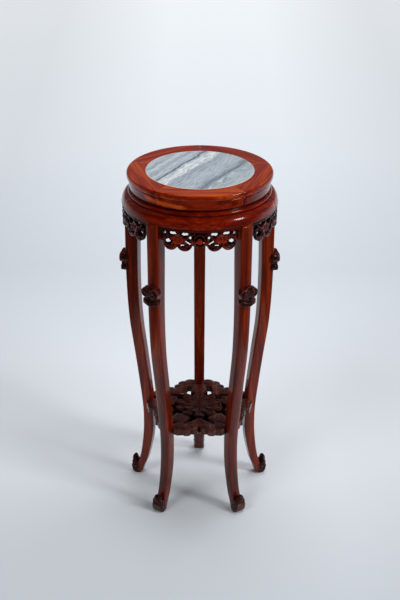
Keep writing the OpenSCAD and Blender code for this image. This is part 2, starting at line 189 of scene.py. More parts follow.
def cut(a, b, soft):
    """Field a with field b taken away, over a soft edge."""
    return -join(-a, b, soft)


def both(a, b, soft):
    """Where fields a and b overlap, with a soft edge."""
    return -join(-a, -b, soft)


def egg(point, centre, radii):
    """Distance to an ellipsoid, near enough for carving."""
    away = [p - c for p, c in zip(point, centre)]
    near = np.sqrt(sum((a / r) ** 2 for a, r in zip(away, radii)))
    steep = np.sqrt(sum((a / r**2) ** 2 for a, r in zip(away, radii)))
    return near * (near - 1) / np.maximum(steep, TINY**2)


def coil(u, v, spacing, turn):
    """Distance from the line of a spiral round the origin of the u, v plane."""
    lag = turn * np.arctan2(v, u) / (2 * np.pi) * spacing
    return np.abs((np.hypot(u, v) - lag) % spacing - spacing / 2)


def foot_field(x, y, z):
    """The toe: a roll with a spiral on both ends, on a rounded sole and under a veined leaf."""
    side = np.abs(y)
    u, v = x - ROLL_AT[0], z - ROLL_AT[1]
    round_r = np.hypot(u, v)
    toe = np.hypot(np.maximum(x - TOE_AT[0], 0), np.maximum(TOE_AT[1] - z, 0)) - TOE_AT[1]
    toe = np.maximum(np.maximum(toe, z - TOE_TOP), TOE_IN_R - x)
    half = ROLL_HALF - TOE_TAPER * ease((TOE_TAPER_R - x) / TOE_TAPER_RUN)
    body = both(join(round_r - ROLL_R, toe, soft=2), side - half, soft=2.4)
    groove = np.maximum(coil(u, v, ROLL_COIL, 1) - GROOVE_HALF, ROLL_HALF - GROOVE_DEEP - side)
    body = cut(body, np.maximum(groove, round_r - ROLL_R + GROOVE_RIM), soft=0.6)
    button = egg((u, side, v), (0, ROLL_HALF - BUTTON_SINK, 0), BUTTON_RADII)
    body = join(body, button, soft=0.4)
    leaf = join(egg((x, y, z), *LEAF), egg((x, side, z), *LEAF_LOBE), soft=1)
    vein = np.abs((z + VEIN_SLOPE * side) % VEIN_PITCH - VEIN_PITCH / 2)
    leaf += VEIN_SINK * np.maximum(1 - vein, 0) * ease((x - VEIN_R) / VEIN_RUN)
    leaf += MIDRIB_SINK * np.maximum(MIDRIB_HALF - side, 0)
    return np.maximum(join(body, leaf, soft=0.8), SOLE_Z - z)


def surface(field, low, high, cell):
    """Points and quads of the surface where a field is zero, with a point in each cell it crosses."""
    axes = [np.arange(a, b + cell, cell) for a, b in zip(low, high)]
    values = field(*np.meshgrid(*axes, indexing="ij")).astype(np.float32)
    inside = values < 0
    cells = np.array(values.shape) - 1
    place = np.zeros((*cells, 3), np.float32)
    count = np.zeros(cells, np.float32)
    for axis in range(3):
        b, c = (axis + 1) % 3, (axis + 2) % 3
        for u, v in ((0, 0), (0, 1), (1, 0), (1, 1)):
            start = [0, 0, 0]
            start[b], start[c] = u, v
            end = list(start)
            end[axis] = 1
            f0, f1 = (values[tuple(slice(o, o + n) for o, n in zip(at, cells))] for at in (start, end))
            crossed = (f0 < 0) != (f1 < 0)
            share = np.divide(f0, f0 - f1, out=np.zeros_like(f0), where=crossed)
            place[..., axis] += share
            place[..., b] += crossed * u
            place[..., c] += crossed * v
            count += crossed
    used = count > 0
    index = np.full(cells, -1)
    index[used] = np.arange(used.sum())
    points = np.array(low) + cell * (np.argwhere(used) + place[used] / count[used][:, None])
    quads = []
    for axis in range(3):
        b, c = (axis + 1) % 3, (axis + 2) % 3
        near = [slice(1, n) for n in cells]
        near[axis] = slice(0, cells[axis])
        far = list(near)
        far[axis] = slice(1, cells[axis] + 1)
        changed = inside[tuple(near)] != inside[tuple(far)]
        outward = inside[tuple(near)][changed]
        at = np.argwhere(changed) + 1
        at[:, axis] -= 1
        corners = []
        for db, dc in ((1, 1), (0, 1), (0, 0), (1, 0)):
            q = at.copy()
            q[:, b] -= db
            q[:, c] -= dc
            corners.append(index[tuple(q.T)])
        quad = np.stack(corners, 1)
        quad[~outward] = quad[~outward][:, ::-1]
        quads.append(quad)
    return points, np.concatenate(quads)


def thinned(points, quads, keep):
    """Points, normals and triangles of a surface after its mesh is thinned to a share of its faces."""
    mesh = bpy.data.meshes.new("blank")
    mesh.from_pydata(points.tolist(), [], quads.tolist())
    blank = bpy.data.objects.new("blank", mesh)
    bpy.context.scene.collection.objects.link(blank)
    thin = blank.modifiers.new("thin", "DECIMATE")
    thin.ratio = keep
    thin.use_collapse_triangulate = True
    done = blank.evaluated_get(bpy.context.evaluated_depsgraph_get()).to_mesh()
    points = np.array([v.co for v in done.vertices])
    normals = np.array([v.normal for v in done.vertices])
    faces = [tuple(p.vertices) for p in done.polygons]
    bpy.data.objects.remove(blank)
    bpy.data.meshes.remove(mesh)
    return points, normals, faces


HOLLOW_REACH = 3
HOLLOW_OPEN = 0.75
HOLLOW_LEAST = 0.2


def carve(field, box, cell, keep, reach=HOLLOW_REACH):
    """Points, triangles and hollows of the surface where a field is zero: above 0 in recesses, which
    darkens them as painted shade, and below 0 on high edges, which pales them as rubbed wear and
    painted highlight.
    """
    points, normals, faces = thinned(*surface(field, *box, cell), keep)
    ahead = field(*(points + normals * reach).T) / reach
    behind = -field(*(points - normals * reach).T) / reach
    hollow = np.clip((HOLLOW_OPEN - ahead) / HOLLOW_OPEN, 0, 1)
    worn_and_highlit = np.clip((HOLLOW_OPEN - behind) / HOLLOW_OPEN, 0, 1)
    return points, faces, hollow - worn_and_highlit * (hollow < HOLLOW_LEAST)


def turned(points, azimuth):
    """Points turned about the stand's axis from +X to a direction."""
    a = math.radians(azimuth)
    x, y, z = points.T
    return np.column_stack([
        x * math.cos(a) - y * math.sin(a), x * math.sin(a) + y * math.cos(a), z,
    ])


CREASE = math.radians(40)


def add_piece(node, points, faces, material, grain, tone, hollow=0):
    """A mesh that stands for a CAD node, with its grain, hollows and tone on its points."""
    mesh = bpy.data.meshes.new("finished_" + node)
    mesh.from_pydata((points * MM).tolist(), [], faces)
    mesh.attributes.new("grain", "FLOAT_VECTOR", "POINT").data.foreach_set("vector", grain.ravel())
    for key, value in (("hollow", hollow), ("tone", tone)):
        spread = np.full(len(points), value, float)
        mesh.attributes.new(key, "FLOAT", "POINT").data.foreach_set("value", spread)
    mesh.shade_smooth()
    mesh.set_sharp_from_angle(angle=CREASE)
    mesh.materials.append(material)
    piece = bpy.data.objects.new("finished_" + node, mesh)
    bpy.context.scene.collection.objects.link(piece)
    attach(piece, "root")
    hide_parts(node)


def linear(code):
    """An sRGB hex colour as linear red, green, blue and alpha."""
    parts = [int(code[k:k + 2], 16) / 255 for k in (1, 3, 5)]
    return (*(p / 12.92 if p <= 0.04045 else ((p + 0.055) / 1.055) ** 2.4 for p in parts), 1)


def add_node(tree, kind, inputs=(), stops=(), **settings):
    """One shader node, with its settings, its ramp's stops, and values or links on its sockets."""
    made = tree.nodes.new("ShaderNode" + kind)
    for key, value in settings.items():
        setattr(made, key, value)
    for key, value in dict(inputs).items():
        if isinstance(value, bpy.types.NodeSocket):
            tree.links.new(value, made.inputs[key])
        else:
            made.inputs[key].default_value = value
    for k, (place, colour) in enumerate(stops):
        ramp = made.color_ramp.elements
        stop = ramp[k] if k < len(ramp) else ramp.new(place)
        stop.position = place
        stop.color = linear(colour)
    return made


# Lengths along the grain and widths across it. A real pore is about 0.2 mm wide, too fine to show
# in the render, so pores are drawn coarser.
GRAIN_SIZES = {"figure": (170, 11), "streak": (110, 2.6), "pore": (9, 0.75)}
GRAIN_STOPS = (0.5, 0.66, 0.82, 1.0)


def rosewood(name, colours, in_hollows, polish, coat, coat_ior):
    """Lacquered rosewood: a broad straight figure with narrow dark streaks in it, and fine pores."""
    material = bpy.data.materials.new(name)
    material.use_nodes = True
    tree = material.node_tree
    grain = add_node(tree, "Attribute", attribute_name="grain").outputs["Vector"]
    hollow = add_node(tree, "Attribute", attribute_name="hollow").outputs["Fac"]
    tone = add_node(tree, "Attribute", attribute_name="tone").outputs["Fac"]
    spread = {}
    for part, (along, across) in GRAIN_SIZES.items():
        scaled = add_node(
            tree, "VectorMath", {0: grain, 1: (1 / along, 1 / across, 1 / across)}, operation="MULTIPLY",
        )
        spread[part] = add_node(
            tree, "TexNoise",
            {"Vector": scaled.outputs[0], "Scale": 1, "Detail": 3, "Roughness": 0.55, "Distortion": 0.35},
        ).outputs["Fac"]
    figured = add_node(tree, "Math", {0: spread["figure"], 1: 0.62, 2: 0}, operation="MULTIPLY_ADD")
    streaked = add_node(
        tree, "Math", {0: spread["streak"], 1: 0.38, 2: figured.outputs[0]}, operation="MULTIPLY_ADD",
    )
    shifted = add_node(tree, "Math", {0: tone, 1: 0.3, 2: streaked.outputs[0]}, operation="MULTIPLY_ADD")
    ramp = add_node(tree, "ValToRGB", {0: shifted.outputs[0]}, stops=tuple(zip(GRAIN_STOPS, colours)))
    pores = add_node(tree, "MapRange", {0: spread["pore"], 1: 0.3, 2: 0.44, 3: 0.62, 4: 1})
    pored = add_node(
        tree, "Mix", {0: 1, 6: ramp.outputs[0], 7: pores.outputs[0]},
        data_type="RGBA", blend_type="MULTIPLY",
    )
    # Above 0 the hollow amount darkens towards the hollows' colour and dulls the lacquer: painted shade in
    # recesses, and dark joints. Below 0 it pales high edges, as rubbed wear and painted highlight.
    sunk = add_node(tree, "Math", {0: hollow, 1: 0}, operation="MAXIMUM").outputs[0]
    proud = add_node(tree, "Math", {0: hollow, 1: -0.7}, operation="MULTIPLY", use_clamp=True).outputs[0]
    rubbed_and_highlit = add_node(tree, "Mix", {0: proud, 6: pored.outputs[2], 7: linear(colours[2])}, data_type="RGBA")
    darkened = add_node(tree, "Mix", {0: sunk, 6: rubbed_and_highlit.outputs[2], 7: linear(in_hollows)}, data_type="RGBA")
    matt = add_node(tree, "MapRange", {0: spread["streak"], 1: 0.3, 2: 0.7, 3: polish + 0.08, 4: polish})
    dull = add_node(tree, "Math", {0: sunk, 1: 0.3, 2: matt.outputs[0]}, operation="MULTIPLY_ADD")
    relief = add_node(tree, "Bump", {"Strength": 0.25, "Distance": 0.0001, "Height": spread["pore"]})
    kept = add_node(tree, "Math", {0: sunk, 1: -coat, 2: coat}, operation="MULTIPLY_ADD")
    shader = tree.nodes["Principled BSDF"]
    tree.links.new(darkened.outputs[2], shader.inputs["Base Color"])
    tree.links.new(dull.outputs[0], shader.inputs["Roughness"])
    tree.links.new(relief.outputs[0], shader.inputs["Normal"])
    tree.links.new(kept.outputs[0], shader.inputs["Coat Weight"])
    shader.inputs["IOR"].default_value = 1.48
    shader.inputs["Specular IOR Level"].default_value = 0.1
    shader.inputs["Coat IOR"].default_value = coat_ior
    shader.inputs["Coat Roughness"].default_value = 0.08
    return material


# Hard, close wood sanded fine under thin lacquer: a deep red brown with faint streaks and a sheen.
leg_wood = rosewood(
    "dark rosewood, sawn, sanded and lacquered",
    colours=("#3d0f05", "#6a1a05", "#92300a"), in_hollows="#100403", polish=0.26, coat=1, coat_ior=1.32,
)
# Tones grow from dark to pale, and go from the back leg round by the left. Each leg is sawn from its
# own place in the plank, so that no two show the same grain.
LEG_IN_PLANK = np.array([900, 60, 0])
# Part of each leg's tone is painted light and shade: the left leg's head is darker, the back and right legs'
# heads are paler, and most legs darken towards the foot.
HEAD_TONES = (0.85, 0.4, 0.55, 0.52, 0.75)
FOOT_TONES = (0.3, 0.75, 0.15, 0.25, 0.5)
TONE_HEAD_Z = 520
TONE_FOOT_Z = 60
# The toe is darker all over, in its tone and its hollow amount, and its carving is darkened further in the
# recesses as painted shade.
TOE_TONE = -0.9
TOE_DARKENING = 0.5
shoulder_z = LEG_TOP - SHOULDER_H
leg_rings = np.concatenate([
    np.linspace(0, HEEL_R, HEEL_STEPS),
    np.linspace(HEEL_R + LEVEL_GAP, shoulder_z, LEG_STEPS),
    np.arange(shoulder_z, LEG_TOP, LEVEL_GAP) + LEVEL_GAP,
])
stick = np.concatenate([leg_section(z) for z in leg_rings])
stick_faces = tube_faces(len(leg_rings), len(stick) // len(leg_rings))
toe, toe_faces, toe_hollow = carve(foot_field, FOOT_BOX, FOOT_CELL, FOOT_KEEP)
leg_points = np.concatenate([stick, toe])
leg_faces = stick_faces + [tuple(k + len(stick) for k in face) for face in toe_faces]
leg_hollow = np.concatenate([np.zeros(len(stick)), np.clip(TOE_DARKENING + toe_hollow, -1, 1)])
footward = ease((TONE_HEAD_Z - leg_points[:, 2]) / (TONE_HEAD_Z - TONE_FOOT_Z))
toe_tone = np.concatenate([np.zeros(len(stick)), np.full(len(toe), TOE_TONE)])
for i, (azimuth, head, foot) in enumerate(zip(LEG_AZIMUTHS, HEAD_TONES, FOOT_TONES), 1):
    add_piece(
        f"leg_{i}", turned(leg_points, azimuth), leg_faces, leg_wood,
        grain=leg_points[:, [2, 1, 0]] + i * LEG_IN_PLANK,
        tone=head + footward * (foot - head) + toe_tone, hollow=leg_hollow,
    )


# Knee carvings. Five small blocks of rosewood carved as a pair of scrolls over a bow, glued to the
# outer faces of the legs on a stub tenon and wrapping their corners. Their motifs are given out from
# the leg, to the side and up, before the block's growth in those three directions.
KNEE_Z = 541
KNEE_H = 48.5
KNEE_GROWTH = (1.14, 1.08, 1.054)
KNEE_CELL = 0.8
KNEE_KEEP = 0.45
KNEE_TONE = 0.35
KNEE_IN_PLANK = np.array([70, 40, 0])
# The scroll is placed to the side and up, and the wrap's line out and up.
SCROLL_AT = (9.8, 29.6)
SCROLL_R = 10.4
SCROLL_SQUASH = 0.94
SCROLL_MID = 1.8
SCROLL_HALF = 8.5
SCROLL_COIL = 5.6
SCROLL_LINE_R = 9.2
SCROLL_LINE_OUT = 7.2
SCROLL_EYE = ((9.3, 0, 0), (1.7, 2.6, 2.6))
CROWN_UP = 33.4
CROWN_R = 12.4
CROWN_MID = 1
CROWN_HALF = 8.0
NECK_SIDE = 15
NECK_UP = 15
NECK_UP_HALF = 9
NECK_MID = 0.5
NECK_HALF = 6.2
CURL = ((4.4, 5.2, 17.4), (5.0, 4.4, 4.2))
WRAP = ((-2.6, 15.4, 30), (6.4, 4.2, 9.6))
WRAP_LINE_AT = (-2.6, 31)
WRAP_LINE_R = 3.6
WRAP_LINE_HALF = 0.6
WRAP_LINE_SIDE = 17.2
BOW_UP = 6.4
BOW_WAVE = 1.5
BOW_WAVE_RUN = 5.4
BOW_UP_HALF = 5.2
BOW_SIDE = 18.4
BOW_MID = 0.5
BOW_HALF = 9.4
BOW_CAMBER = 90
BOW_TIP = ((-1.8, 15.8, 10.2), (5.4, 3.4, 5.2))
SEAT_GAP = 0.1
knee_face = float(leg_face(KNEE_Z + KNEE_H / 2))
knee_half = float(leg_width(KNEE_Z + KNEE_H / 2)) / 2
KNEE_BOX = ((knee_face - 12, -22, KNEE_Z - 2), (knee_face + 15, 22, KNEE_Z + KNEE_H + 2))


def knee_field(x, y, z):
    """The knee's scrolls, crown and bow, hollowed at the back to sit on the leg."""
    deep, wide, tall = KNEE_GROWTH
    out, side, up = (x - knee_face) / deep, np.abs(y) / wide, (z - KNEE_Z) / tall
    u, v = side - SCROLL_AT[0], up - SCROLL_AT[1]
    scroll = np.hypot(u, v * SCROLL_SQUASH) - SCROLL_R
    scroll = both(scroll, np.abs(out - SCROLL_MID) - SCROLL_HALF, soft=3.6)
    line = np.maximum(coil(u, v, SCROLL_COIL, -1) - GROOVE_HALF, SCROLL_LINE_OUT - out)
    scroll = cut(scroll, np.maximum(line, np.hypot(u, v) - SCROLL_LINE_R), soft=0.7)
    scroll = join(scroll, egg((out, u, v), *SCROLL_EYE), soft=0.4)
    crown = both(np.hypot(side, up - CROWN_UP) - CROWN_R, np.abs(out - CROWN_MID) - CROWN_HALF, soft=4)
    neck = np.maximum(side - NECK_SIDE, np.abs(up - NECK_UP) - NECK_UP_HALF)
    neck = both(neck, np.abs(out - NECK_MID) - NECK_HALF, soft=3)
    line = np.abs(np.hypot(out - WRAP_LINE_AT[0], up - WRAP_LINE_AT[1]) - WRAP_LINE_R) - WRAP_LINE_HALF
    wrap = cut(egg((out, side, up), *WRAP), np.maximum(line, WRAP_LINE_SIDE - side), soft=0.5)
    bow_up = BOW_UP - BOW_WAVE * np.cos(side / BOW_WAVE_RUN)
    bow_out = np.abs(out - BOW_MID) - BOW_HALF + side**2 / BOW_CAMBER
    bow = both(np.maximum(np.abs(up - bow_up) - BOW_UP_HALF, side - BOW_SIDE), bow_out, soft=2.6)
    knee = join(scroll, crown, soft=2)
    knee = join(knee, join(neck, egg((out, side, up), *CURL), soft=1), soft=1.2)
    knee = join(knee, wrap, soft=1)
    knee = join(knee, join(bow, egg((out, side, up), *BOW_TIP), soft=1.5), soft=0.8)
    seat = both(out * deep - SEAT_GAP, side * wide - knee_half - SEAT_GAP, soft=4)
    return np.maximum(knee, -seat)


# A dark stain under less lacquer. The cuts are painted nearly black, as painted shade, and the high
# edges paler, as rubbed wear and painted highlight.
carved_wood = rosewood(
    "rosewood, carved, stained dark and lacquered",
    colours=("#240907", "#38100b", "#6b2c20"), in_hollows="#050202", polish=0.3, coat=0.8, coat_ior=1.3,
)
knee, knee_faces, knee_hollow = carve(knee_field, KNEE_BOX, KNEE_CELL, KNEE_KEEP)
for i, azimuth in enumerate(LEG_AZIMUTHS, 1):
    add_piece(
        f"knee_carving_{i}", turned(knee, azimuth), knee_faces, carved_wood,
        grain=knee[:, [2, 1, 0]] + i * KNEE_IN_PLANK, tone=KNEE_TONE, hollow=knee_hollow,
    )


# Lower shelf. One board of rosewood with a pair of scalloped wings at each leg, pierced beside the
# spokes and carved with a rosette, and tenoned into the legs' inner faces.
SHELF_Z = 215
SHELF_T = 20
SHELF_CELL = 1.0
SHELF_KEEP = 0.42
SHELF_REACH = 125
SHELF_SLOPE = 0.8
NOTCH_R = 98
# Each scallop's angle from the spoke, its radius and how far it stays back from the full reach.
SCALLOPS = ((11, 16, 0), (20.5, 13, 4), (29, 12, 14))
WING_RISE = 2.6
WING_RUN = 8
HOLE_FROM = (85, 23)
HOLE_TO = (58, 26.5)
HOLE_RADII = (5.4, 6.2)
HOLE_LIP = 0.5
SPOKE_HALF = 13
SPOKE_LIP = 3
DITCH_R = 64
DITCH_LIP = 4
DITCH_SINK = 11
DITCH_WALL = 5
DITCH_RUN = 9
FLUTES = 44
FLUTE_SINK = 0.9
FLUTE_TOP = 4
FLUTE_RUN = 2
ROSETTE_R = 56
ROSETTE_EDGE = 1
ROSETTE_GROUND = 2
PETALS = 10
# Each ring of petals has an inner radius, an outer radius and a level.
PETAL_RINGS = ((30, 57, -2.6), (17, 41, -1.0))
PETAL_LIFT = 3.2
PETAL_FALL = 3.4
PETAL_RIPPLE = 0.5
RIPPLE_ACROSS = 7
RIPPLE_ALONG = 5
BOSS_R = 20
BOSS_RISE = 0.8
BOSS_DOME = 0.004
BOSS_LINE_IN = 5
BOSS_LINE_HALF = 1.2
BOSS_LINE_SINK = 1.6
SHELF_BOX = ((-128, -128, SHELF_Z - SHELF_T - 2), (128, 128, SHELF_Z + 3))


def shelf_outline(along, side):
    """Distance to the shelf's edge, for points along a spoke and to the side of it."""
    edge = np.hypot(along, side) - NOTCH_R
    for angle, r, back in SCALLOPS:
        a = math.radians(angle)
        far = SHELF_REACH - back - r
        edge = join(edge, np.hypot(along - far * math.cos(a), side - far * math.sin(a)) - r, soft=1.2)
    return edge


def bar(u, v, start, end, r0, r1):
    """Distance to a round-ended bar from start to end in the u, v plane."""
    du, dv = end[0] - start[0], end[1] - start[1]
    t = np.clip(((u - start[0]) * du + (v - start[1]) * dv) / (du * du + dv * dv), 0, 1)
    return np.hypot(u - start[0] - t * du, v - start[1] - t * dv) - (r0 + (r1 - r0) * t)


def rosette_top(r, turn, top):
    """The height of the shelf's top with two rings of curled petals and a boss laid over it."""
    petal_turn = 360 / PETALS
    for ring, (r_in, r_out, level) in enumerate(PETAL_RINGS):
        b = np.radians((turn + petal_turn * (0.5 * ring + 0.5)) % petal_turn - petal_turn / 2)
        share = np.clip((r - r_in) / (r_out - r_in), 0, 1)
        half = np.radians(petal_turn / 2) * np.sqrt(np.clip(1 - share**4, 0, 1)) + TINY
        across = np.clip(np.abs(b) / half, 0, 1)
        ripple = PETAL_RIPPLE * np.cos(across * RIPPLE_ACROSS + share * RIPPLE_ALONG)
        curl = PETAL_LIFT * share**2 - PETAL_FALL * across**4 + ripple
        petal = (np.abs(b) < half) & (r < r_out)
        ground = np.where(ring, top, SHELF_Z - DITCH_SINK + ROSETTE_GROUND)
        top = np.where(r < ROSETTE_R + ROSETTE_EDGE, np.where(petal, SHELF_Z + level + curl, ground), top)
    line = BOSS_LINE_SINK * np.exp(-(((r - BOSS_R + BOSS_LINE_IN) / BOSS_LINE_HALF) ** 2))
    return np.where(r < BOSS_R, SHELF_Z + BOSS_RISE - BOSS_DOME * r**2 - line, top)


def shelf_field(x, y, z):
    """The shelf: domed wings with a line along their fluted edge, holes, a ditch and the rosette."""
    r, turn = np.hypot(x, y), np.degrees(np.arctan2(y, x)) - BACK_LEG
    fold = np.radians((turn + PITCH / 2) % PITCH - PITCH / 2)
    along, side = r * np.cos(fold), np.abs(r * np.sin(fold))
    edge = shelf_outline(along, side)
    hole = bar(along, side, HOLE_FROM, HOLE_TO, *HOLE_RADII)
    dome = ease(-edge / WING_RUN) * ease((hole + HOLE_LIP) / WING_RUN)
    dome = dome * ease((r - DITCH_R + DITCH_LIP) / DITCH_RUN)
    ditch = ease((DITCH_R - r) / DITCH_WALL) * ease((side - SPOKE_HALF + SPOKE_LIP) / DITCH_RUN)
    top = rosette_top(r, turn, SHELF_Z - WING_RISE + WING_RISE * dome - DITCH_SINK * ditch)
    flute = FLUTE_SINK * np.abs(np.sin(fold * FLUTES)) * ease((SHELF_Z - FLUTE_TOP - z) / FLUTE_RUN)
    slab = np.maximum((z - top) * SHELF_SLOPE, SHELF_Z - SHELF_T - z)
    board = both(np.maximum(edge + flute, -hole), slab, soft=1.2)
    leg = both(leg_middle(z) - leg_depth(z) / 2 - along, side - leg_width(z) / 2, soft=LEG_CORNER)
    return np.maximum(board, -leg)


# The same stain with its lacquer dulled by use: a greyer brown with broad, weak highlights.
shelf_wood = rosewood(
    "rosewood, carved, stained dark and dulled",
    colours=("#31120d", "#472019", "#77433a"), in_hollows="#050202", polish=0.34, coat=0.8, coat_ior=1.3,
)
SHELF_TONE = 0.4
ROSETTE_DARKER = 0.5
ROSETTE_FADE_FROM = 4
ROSETTE_FADE = 6
SHELF_SHADE_RUN = 4
SHELF_SHADE_R = NOTCH_R - 6
shelf, shelf_faces, shelf_hollow = carve(shelf_field, SHELF_BOX, SHELF_CELL, SHELF_KEEP)
shelf_r = np.hypot(shelf[:, 0], shelf[:, 1])
# The sunk ground inside the wings is painted darker with depth, as painted shade, and so are the carved
# hollows.
shelf_sunk = ease((SHELF_Z - WING_RISE - shelf[:, 2]) / SHELF_SHADE_RUN) * (shelf_r < SHELF_SHADE_R)
add_piece(
    "lower_shelf", shelf, shelf_faces, shelf_wood, grain=shelf[:, [1, 0, 2]],
    tone=SHELF_TONE - ROSETTE_DARKER * ease((ROSETTE_R + ROSETTE_FADE_FROM - shelf_r) / ROSETTE_FADE),
    hollow=np.maximum(shelf_hollow, shelf_sunk),
)


# Aprons. Five curved boards of rosewood between the legs' heads, pierced and carved with blossom
# and scrolling leaf, tongued into the cornice above and the legs at both ends. Their motifs lie
# along the bay from its middle and up, and rise by shares of the relief's full height.
APRON_BACK_R = 160.8
APRON_T = 10
APRON_ENDS_Z = 697
APRON_HALF = 92.5
APRON_END_GAP = 0.4
# Each lobe's place along the bay, its radius and its lowest height.
APRON_LOBES = ((0, 15, 687), (33, 18, 678), (64, 17, 678))
APRON_CELL = 0.8
APRON_KEEP = 0.4
APRON_REACH = 1.6
APRON_SLOPE = 0.7
APRON_GROUND = 3.6
APRON_RISE = 5.4
APRON_BOX = ((-APRON_HALF - 1, 676, -1), (APRON_HALF + 1, LEG_TOP + 1, 12))
RAIL_Z = 719.2
STILE_AT = 85
RAIL_RISE = 0.8
RAIL_RUN = 1.5
BORDER_W = 5
BORDER_RUN = 2.5
BORDER_RISE = 0.85
BORDER_TOP = 712
# Both ends of each hole and its radius.
APRON_HOLES = (
    ((78, 715), (82, 713), 3.0), ((55, 716.5), (64, 716), 3.6), ((28, 716.5), (36, 715.5), 3.6),
    ((19.5, 710), (21, 707), 2.4), ((68, 699), (74, 696.5), 4.0), ((30, 699.5), (21, 693.5), 2.2),
    ((35, 691), (41, 690), 2.2),
)
WOBBLE = 0.8
WOBBLE_ALONG = 0.9
WOBBLE_UP = 0.8
HOLE_RIM_W = 2.6
HOLE_RIM_RUN = 1.6
HOLE_RIM_RISE = 0.6
# Both ends of each stem and half its width.
APRON_STEMS = (
    ((6, 700), (16, 692), 2.4), ((16, 692), (30, 689), 2.2), ((30, 689), (42, 697), 2.2),
    ((12, 716), (24, 714), 2.2), ((24, 714), (28, 706), 2.0), ((28, 706), (40, 706), 2.0),
    ((56, 708), (70, 710), 2.6), ((70, 710), (81, 702), 2.2), ((70, 710), (74, 718), 2.2),
    ((58, 698), (62, 688), 2.4), ((62, 688), (76, 688), 2.4), ((76, 688), (84, 697), 2.2),
    ((44, 714), (48, 722), 2.4), ((20, 722), (26, 712), 2.4),
)
STEM_SPREAD = 0.8
STEM_RISE = 0.95
# Each leaf's middle, its turn, half its length and half its width.
APRON_LEAVES = (
    ((34, 700), 35, 9, 4.4), ((64, 703), -30, 8, 4.2), ((37, 684), 12, 10, 4.6), ((62, 683), -12, 11, 4.8),
    ((18, 702), 80, 8, 4.0), ((80, 708), 70, 8, 3.8), ((52, 688), 70, 7, 4.2),
)
LEAF_RISE = 0.3
LEAF_DOME = 0.8
LEAF_RIB_SINK = 0.25
LEAF_RIB_HALF = 0.8
LEAF_VEIN_SINK = 0.1
LEAF_VEIN_ALONG = 1.6
LEAF_VEIN_ASIDE = 1.3
LEAF_VEIN_FROM = 0.4
BLOSSOM_AT = (48, 704.5)
BLOSSOM_PETALS = 5
BLOSSOM_R = 12.6
BLOSSOM_NOTCH = 0.24
BLOSSOM_RISE = 0.62
BLOSSOM_SWEEP = 0.5
PARTING_SINK = 0.45
PARTING_W = 0.22
PARTING_R = 3
BLOSSOM_EYE_R = 3.2
BLOSSOM_EYE_RISE = 0.65
BLOSSOM_EYE_DOME = 0.5
BUD_Z = 701
BUD_HALF = 6.2
BUD_HALF_H = 8.2
BUD_RISE = 0.4
BUD_DOME = 0.7
BUD_SPLIT_SINK = 0.3
BUD_SPLIT_HALF = 0.9
ARCH_Z = 703
ARCH_R = 11.5
ARCH_SQUASH = 0.9
ARCH_HALF = 2
ARCH_RISE = 0.9
ARCH_FOOT_Z = 700
NICHE_R = 9.3
NICHE_FOOT_Z = 702
NICHE_RISE = -0.3


def leaf_rise(side, z, at, turn, length, half):
    """The relief of one veined leaf, and none away from it."""
    a = math.radians(turn)
    u = (side - at[0]) * math.cos(a) + (z - at[1]) * math.sin(a)
    v = -(side - at[0]) * math.sin(a) + (z - at[1]) * math.cos(a)
    wide = half * np.sqrt(np.clip(1 - (u / length) ** 2, 0, 1)) + TINY
    over = np.sqrt(np.clip(1 - (v / wide) ** 2, 0, 1))
    rib = LEAF_RIB_SINK * np.exp(-((v / LEAF_RIB_HALF) ** 2))
    veins = np.sin(u * LEAF_VEIN_ALONG + np.abs(v) * LEAF_VEIN_ASIDE) > LEAF_VEIN_FROM
    leaf = (np.abs(u) < length) & (np.abs(v) < wide)
    return np.where(leaf, LEAF_RISE + LEAF_DOME * over - (rib + LEAF_VEIN_SINK * veins), -np.inf)


def blossom_rise(side, z):
    """The relief of the blossom: notched petals that sweep up to their rims round a domed eye."""
    u, v = side - BLOSSOM_AT[0], z - BLOSSOM_AT[1]
    r = np.hypot(u, v)
    petal_way = np.abs(np.cos(BLOSSOM_PETALS / 2 * (np.arctan2(v, u) - math.pi / 2)))
    rim = BLOSSOM_R * (1 - BLOSSOM_NOTCH + BLOSSOM_NOTCH * petal_way)
    parting = PARTING_SINK * np.exp(-((petal_way / PARTING_W) ** 2)) * (r > PARTING_R)
    petal = BLOSSOM_RISE + BLOSSOM_SWEEP * np.clip(r / rim, 0, 1) ** 1.5 - parting
    eye = BLOSSOM_EYE_RISE + BLOSSOM_EYE_DOME * np.sqrt(np.clip(1 - (r / BLOSSOM_EYE_R) ** 2, 0, 1))
    return np.where(r < rim, np.where(r < BLOSSOM_EYE_R, eye, petal), -np.inf)


def with_bud(s, z, rise):
    """The relief with the bay's middle bud laid over it, in a sunk niche under an arch."""
    bud = np.clip(1 - (s / BUD_HALF) ** 2 - ((z - BUD_Z) / BUD_HALF_H) ** 2, 0, 1)
    split = BUD_SPLIT_SINK * np.exp(-((s / BUD_SPLIT_HALF) ** 2))
    rise = np.where(bud > 0, np.maximum(rise, BUD_RISE + BUD_DOME * np.sqrt(bud) - split), rise)
    ring = np.hypot(s, (z - ARCH_Z) * ARCH_SQUASH)
    arch = np.sqrt(np.clip(1 - ((ring - ARCH_R) / ARCH_HALF) ** 2, 0, 1)) * (z > ARCH_FOOT_Z)
    niche = (ring < NICHE_R) & (bud == 0) & (z > NICHE_FOOT_Z)
    return np.where(niche, NICHE_RISE, np.maximum(rise, ARCH_RISE * arch))


